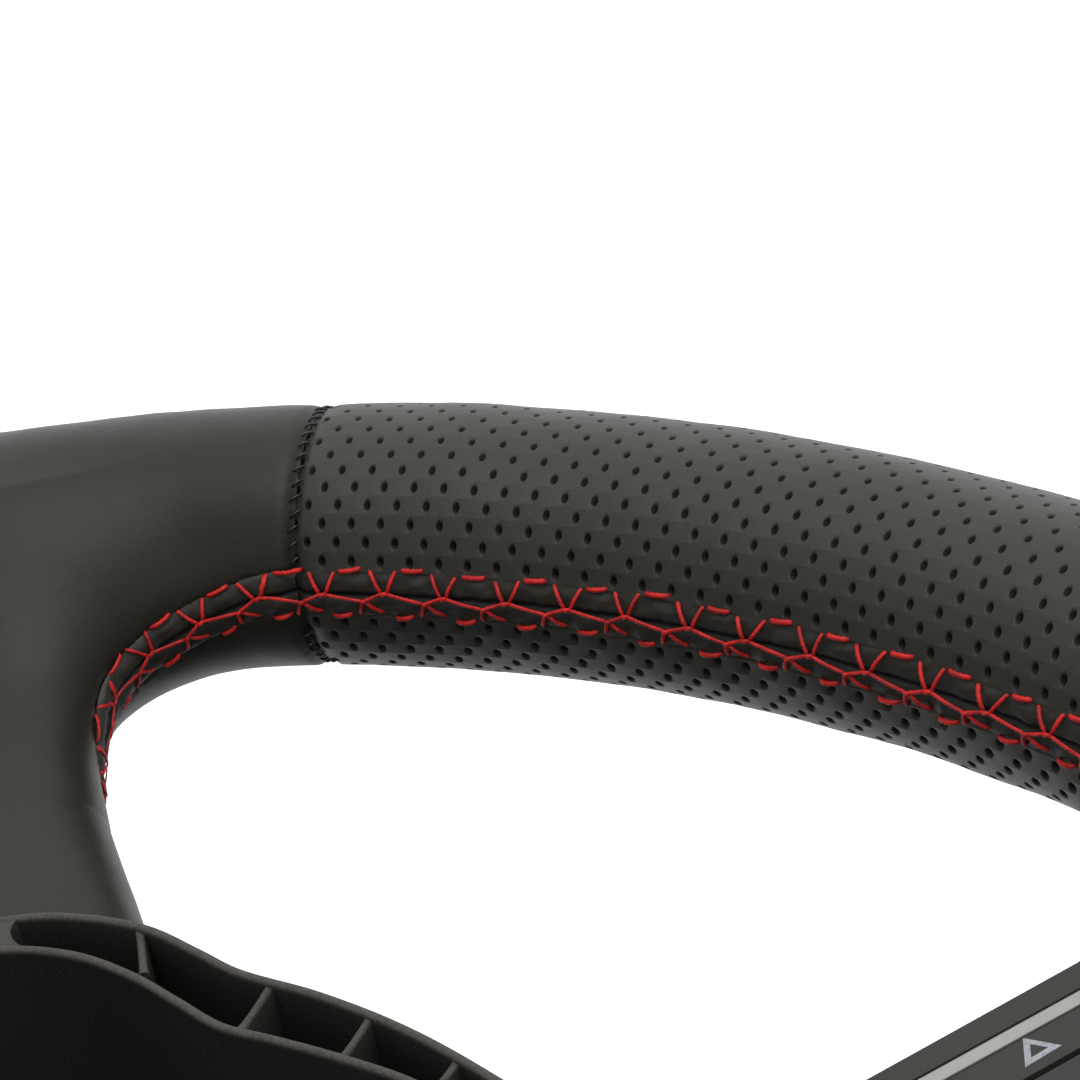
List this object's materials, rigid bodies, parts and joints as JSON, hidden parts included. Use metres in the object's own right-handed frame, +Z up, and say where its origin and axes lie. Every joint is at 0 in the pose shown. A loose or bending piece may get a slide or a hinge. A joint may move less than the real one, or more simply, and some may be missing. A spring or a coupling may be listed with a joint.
{
  "type": "quick release steering wheel",
  "caption": "Leather-bound three-spoke steering wheel with stitched rim, spoke keys, horn button and a ball-lock quick release to the steering column.",
  "frame": {"origin": "centre of the mounting face of the column side of the quick release", "axes": "+Z up in the driving position, -Y towards the driver, +X to the driver's right; the steering column runs along +Y"},
  "size_m": [0.37, 0.106, 0.37],
  "materials": {
    "smooth_leather": "satin, fine closed grain",
    "perforated_leather": "satin, close staggered perforations",
    "red_thread": "twisted waxed thread",
    "foam": "moulded polyurethane foam",
    "steel": "machined",
    "casting": "as cast",
    "ribbed_nylon": "glass-filled, fine texture",
    "horn_plastic": "fine texture",
    "spoke_plastic": "soft-touch, fine texture",
    "key_plastic": "fine texture, printed marks",
    "silver": "satin silver",
    "circuit_board": "green lacquer",
    "rubber": "moulded silicone",
    "red_anodised": "anodised",
    "brass": "brass sheet"
  },
  "bodies": {
    "column_side": {"column_boss": "steel"},
    "wheel": {"rim_core_ring": "steel", "hub_casting": "casting", "rim_foam": "foam", "leather_lower_spoke": "smooth_leather", "leather_grip_left": "perforated_leather", "leather_grip_right": "perforated_leather", "leather_top": "smooth_leather", "rim_thread_left": "red_thread", "rim_thread_right": "red_thread", "rim_thread_upper": "red_thread", "hub_surround": "ribbed_nylon", "back_cover": "ribbed_nylon", "horn_housing": "ribbed_nylon", "quick_release_hub": "steel", "snap_ring": "steel", "collar_spring": "steel", "horn_spring": "steel", "horn_retaining_ring": "red_anodised", "horn_contact": "brass", "surround_screw_1": "steel", "back_cover_screw_1": "steel", "surround_screw_2": "steel", "back_cover_screw_2": "steel", "surround_screw_3": "steel", "back_cover_screw_3": "steel", "surround_screw_4": "steel", "back_cover_screw_4": "steel", "hub_bolt_1": "steel", "hub_bolt_2": "steel", "hub_bolt_3": "steel", "hub_bolt_4": "steel", "hub_bolt_5": "steel", "hub_bolt_6": "steel", "spoke_housing_left": "spoke_plastic", "spoke_back_left": "spoke_plastic", "silver_strip_left": "silver", "switch_board_left": "circuit_board", "key_mat_left": "rubber", "spoke_housing_right": "spoke_plastic", "spoke_back_right": "spoke_plastic", "silver_strip_right": "silver", "switch_board_right": "circuit_board", "key_mat_right": "rubber"},
    "release_collar": {"release_collar": "red_anodised"},
    "horn_cap": {"horn_cap": "horn_plastic"},
    "lock_ball_1": {"lock_ball_1": "steel"},
    "lock_ball_2": {"lock_ball_2": "steel"},
    "lock_ball_3": {"lock_ball_3": "steel"},
    "lock_ball_4": {"lock_ball_4": "steel"},
    "lock_ball_5": {"lock_ball_5": "steel"},
    "lock_ball_6": {"lock_ball_6": "steel"},
    "key_left_lower_inner": {"key_left_lower_inner": "key_plastic"},
    "key_left_lower_outer": {"key_left_lower_outer": "key_plastic"},
    "key_left_upper_inner": {"key_left_upper_inner": "key_plastic"},
    "key_left_upper_outer": {"key_left_upper_outer": "key_plastic"},
    "key_right_lower_inner": {"key_right_lower_inner": "key_plastic"},
    "key_right_lower_outer": {"key_right_lower_outer": "key_plastic"},
    "key_right_upper_inner": {"key_right_upper_inner": "key_plastic"},
    "key_right_upper_outer": {"key_right_upper_outer": "key_plastic"}
  },
  "joints": [
    {"name": "wheel_pull_off", "type": "slide", "parent": "column_side", "child": "wheel", "axis": [0, -1, 0], "range_m": [0, 0.06]},
    {"name": "collar_release", "type": "slide", "parent": "wheel", "child": "release_collar", "axis": [0, -1, 0], "range_m": [0, 0.008], "stiffness_N_per_m": 1500, "springref_m": -0.008, "deforming": ["collar_spring"]},
    {"name": "lock_ball_1_slide", "type": "slide", "parent": "wheel", "child": "lock_ball_1", "axis": [0.866, 0, 0.5], "range_m": [0, 0.001]},
    {"name": "lock_ball_2_slide", "type": "slide", "parent": "wheel", "child": "lock_ball_2", "axis": [0, 0, 1], "range_m": [0, 0.001]},
    {"name": "lock_ball_3_slide", "type": "slide", "parent": "wheel", "child": "lock_ball_3", "axis": [-0.866, 0, 0.5], "range_m": [0, 0.001]},
    {"name": "lock_ball_4_slide", "type": "slide", "parent": "wheel", "child": "lock_ball_4", "axis": [-0.866, 0, -0.5], "range_m": [0, 0.001]},
    {"name": "lock_ball_5_slide", "type": "slide", "parent": "wheel", "child": "lock_ball_5", "axis": [0, 0, -1], "range_m": [0, 0.001]},
    {"name": "lock_ball_6_slide", "type": "slide", "parent": "wheel", "child": "lock_ball_6", "axis": [0.866, 0, -0.5], "range_m": [0, 0.001]},
    {"name": "horn_press", "type": "slide", "parent": "wheel", "child": "horn_cap", "axis": [0, 1, 0], "range_m": [0, 0.003], "stiffness_N_per_m": 1500, "springref_m": -0.002, "deforming": ["horn_spring"]},
    {"name": "press_left_lower_inner", "type": "slide", "parent": "wheel", "child": "key_left_lower_inner", "axis": [0, 1, 0], "range_m": [0, 0.0012], "stiffness_N_per_m": 800, "springref_m": -0.001},
    {"name": "press_left_lower_outer", "type": "slide", "parent": "wheel", "child": "key_left_lower_outer", "axis": [0, 1, 0], "range_m": [0, 0.0012], "stiffness_N_per_m": 800, "springref_m": -0.001},
    {"name": "press_left_upper_inner", "type": "slide", "parent": "wheel", "child": "key_left_upper_inner", "axis": [0, 1, 0], "range_m": [0, 0.0012], "stiffness_N_per_m": 800, "springref_m": -0.001},
    {"name": "press_left_upper_outer", "type": "slide", "parent": "wheel", "child": "key_left_upper_outer", "axis": [0, 1, 0], "range_m": [0, 0.0012], "stiffness_N_per_m": 800, "springref_m": -0.001},
    {"name": "press_right_lower_inner", "type": "slide", "parent": "wheel", "child": "key_right_lower_inner", "axis": [0, 1, 0], "range_m": [0, 0.0012], "stiffness_N_per_m": 800, "springref_m": -0.001},
    {"name": "press_right_lower_outer", "type": "slide", "parent": "wheel", "child": "key_right_lower_outer", "axis": [0, 1, 0], "range_m": [0, 0.0012], "stiffness_N_per_m": 800, "springref_m": -0.001},
    {"name": "press_right_upper_inner", "type": "slide", "parent": "wheel", "child": "key_right_upper_inner", "axis": [0, 1, 0], "range_m": [0, 0.0012], "stiffness_N_per_m": 800, "springref_m": -0.001},
    {"name": "press_right_upper_outer", "type": "slide", "parent": "wheel", "child": "key_right_upper_outer", "axis": [0, 1, 0], "range_m": [0, 0.0012], "stiffness_N_per_m": 800, "springref_m": -0.001}
  ],
  "couplings": [
    {"joint": "lock_ball_1_slide", "follows": "collar_release", "ratio": 0.125},
    {"joint": "lock_ball_2_slide", "follows": "collar_release", "ratio": 0.125},
    {"joint": "lock_ball_3_slide", "follows": "collar_release", "ratio": 0.125},
    {"joint": "lock_ball_4_slide", "follows": "collar_release", "ratio": 0.125},
    {"joint": "lock_ball_5_slide", "follows": "collar_release", "ratio": 0.125},
    {"joint": "lock_ball_6_slide", "follows": "collar_release", "ratio": 0.125}
  ]
}
